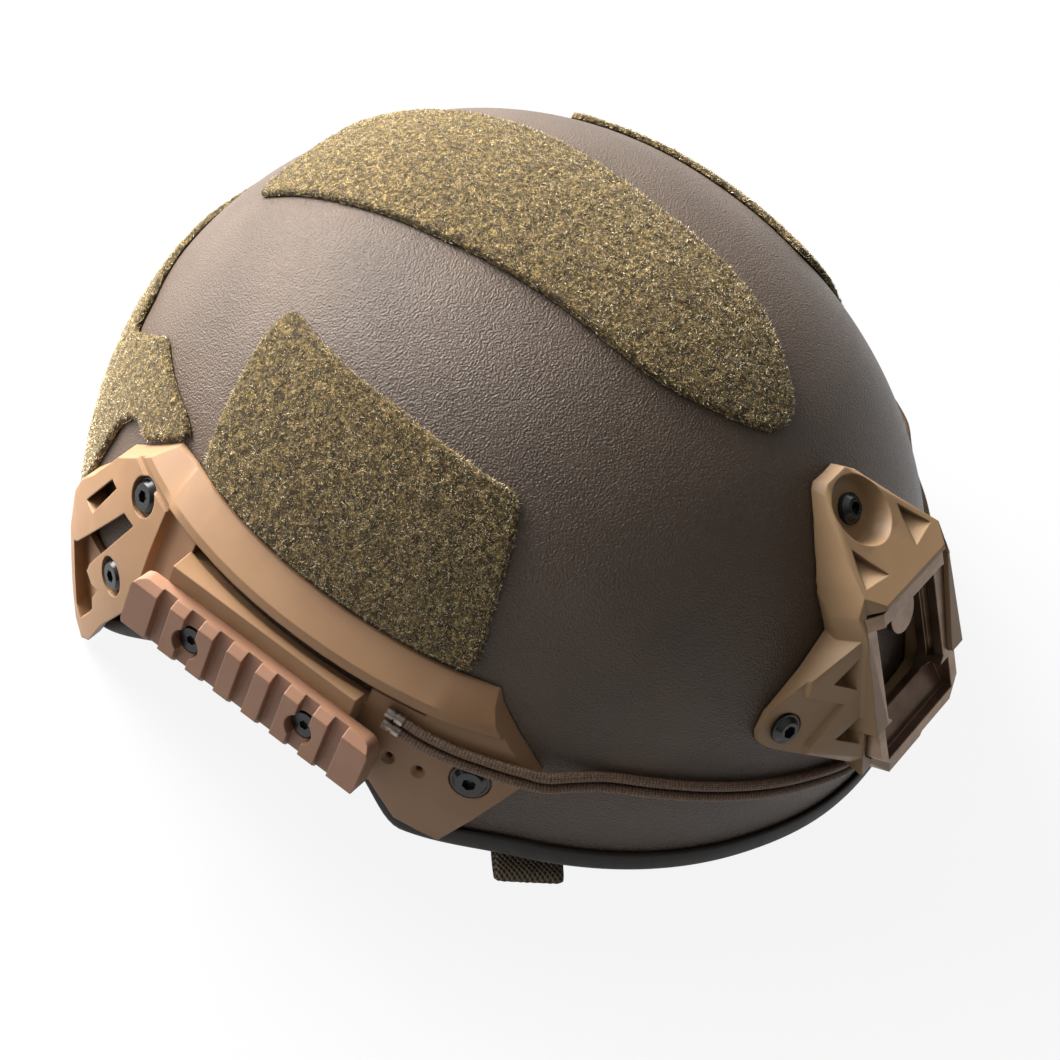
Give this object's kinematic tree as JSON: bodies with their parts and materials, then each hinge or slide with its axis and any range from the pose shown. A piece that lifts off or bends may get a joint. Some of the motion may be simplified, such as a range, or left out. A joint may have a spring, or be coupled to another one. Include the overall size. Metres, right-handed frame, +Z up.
{
  "type": "combat helmet",
  "caption": "High-cut ballistic helmet with side rails, front shroud, loop patches, cord keepers, padded liner, dial-tightened nape cradle and buckled chin strap.",
  "frame": {"origin": "centre of the helmet's box, on the surface that it stands on", "axes": "+X is the wearer's left, -Y the front, +Z up, with the helmet tilted back by 10 degrees onto its brow and nape"},
  "size_m": [0.2642, 0.2888, 0.1502],
  "materials": {
    "shell": "dark earth brown paint with a fine orange peel, satin",
    "trim": "matt black rubber",
    "rail": "tan moulded polymer, matt",
    "accessory": "pinkish tan moulded polymer, matt",
    "shroud": "tan moulded polymer, matt",
    "insert_metal": "bronze-brown anodised, satin",
    "black_hardware": "black oxide, semi-gloss",
    "loop": "olive-khaki loop fabric",
    "cord": "brown braided elastic cord with light flecks",
    "ferrule": "crimped metal",
    "foam": "dark closed-cell foam",
    "pad_fabric": "dark brushed fabric over foam",
    "cradle_plastic": "black moulded polymer",
    "band_plastic": "dark grey moulded polymer",
    "buckle_plastic": "black moulded polymer",
    "pinion": "light grey moulded polymer",
    "webbing": "tan and black woven webbing",
    "elastic": "black woven elastic"
  },
  "bodies": {
    "helmet": {"shell": "shell", "edge_trim": "trim", "rail_right": "rail", "rail_left": "rail", "accessory_rail_right": "accessory", "accessory_rail_left": "accessory", "accessory_screws": "black_hardware", "rail_screws": "black_hardware", "shroud_base": "shroud", "shroud_insert": "insert_metal", "shroud_screws": "black_hardware", "loop_crown": "loop", "loop_side_right": "loop", "loop_side_left": "loop", "loop_rear": "loop", "cords_right": "cord", "cords_left": "cord", "cord_ferrules": "ferrule", "impact_liner": "foam", "pad_front": "pad_fabric", "pad_crown": "pad_fabric", "pad_rear": "pad_fabric", "pad_side_right": "pad_fabric", "pad_side_left": "pad_fabric", "cradle_housing": "cradle_plastic", "cradle_cover": "cradle_plastic", "nape_pad": "pad_fabric", "strap_anchors": "black_hardware", "strap_junction_right": "buckle_plastic", "strap_junction_left": "buckle_plastic", "strap_front_right": "webbing", "strap_front_left": "webbing", "strap_rear_right": "webbing", "strap_rear_left": "webbing", "band_strap_right": "elastic", "band_strap_left": "elastic", "chin_strap_right": "webbing", "buckle_female": "buckle_plastic", "chin_strap_left": "webbing"},
    "dial": {"dial_knob": "cradle_plastic", "pinion": "pinion"},
    "band_right": {"band_right": "band_plastic"},
    "band_left": {"band_left": "band_plastic"},
    "chin_side": {"buckle_male": "buckle_plastic", "chin_strap_mid": "webbing", "chin_cup": "pad_fabric"}
  },
  "joints": [
    {"name": "dial_turn", "type": "hinge", "parent": "helmet", "child": "dial", "pos_m": [0, 0.09207, 0.02065], "axis": [0, 0.984, 0.1782], "range_deg": [0, 95]},
    {"name": "band_right_slide", "type": "slide", "parent": "helmet", "child": "band_right", "axis": [1, 0, 0], "range_m": [0, 0.01], "deforming": ["band_strap_right"]},
    {"name": "band_left_slide", "type": "slide", "parent": "helmet", "child": "band_left", "axis": [-1, 0, 0], "range_m": [0, 0.01], "deforming": ["band_strap_left"]},
    {"name": "buckle_release", "type": "slide", "parent": "helmet", "child": "chin_side", "axis": [0.6561, -0.7547, 0], "range_m": [0, 0.014], "deforming": ["chin_strap_left"]}
  ],
  "couplings": [
    {"joint": "band_right_slide", "follows": "dial_turn", "m_per_rad": 0.006},
    {"joint": "band_left_slide", "follows": "dial_turn", "m_per_rad": 0.006}
  ]
}
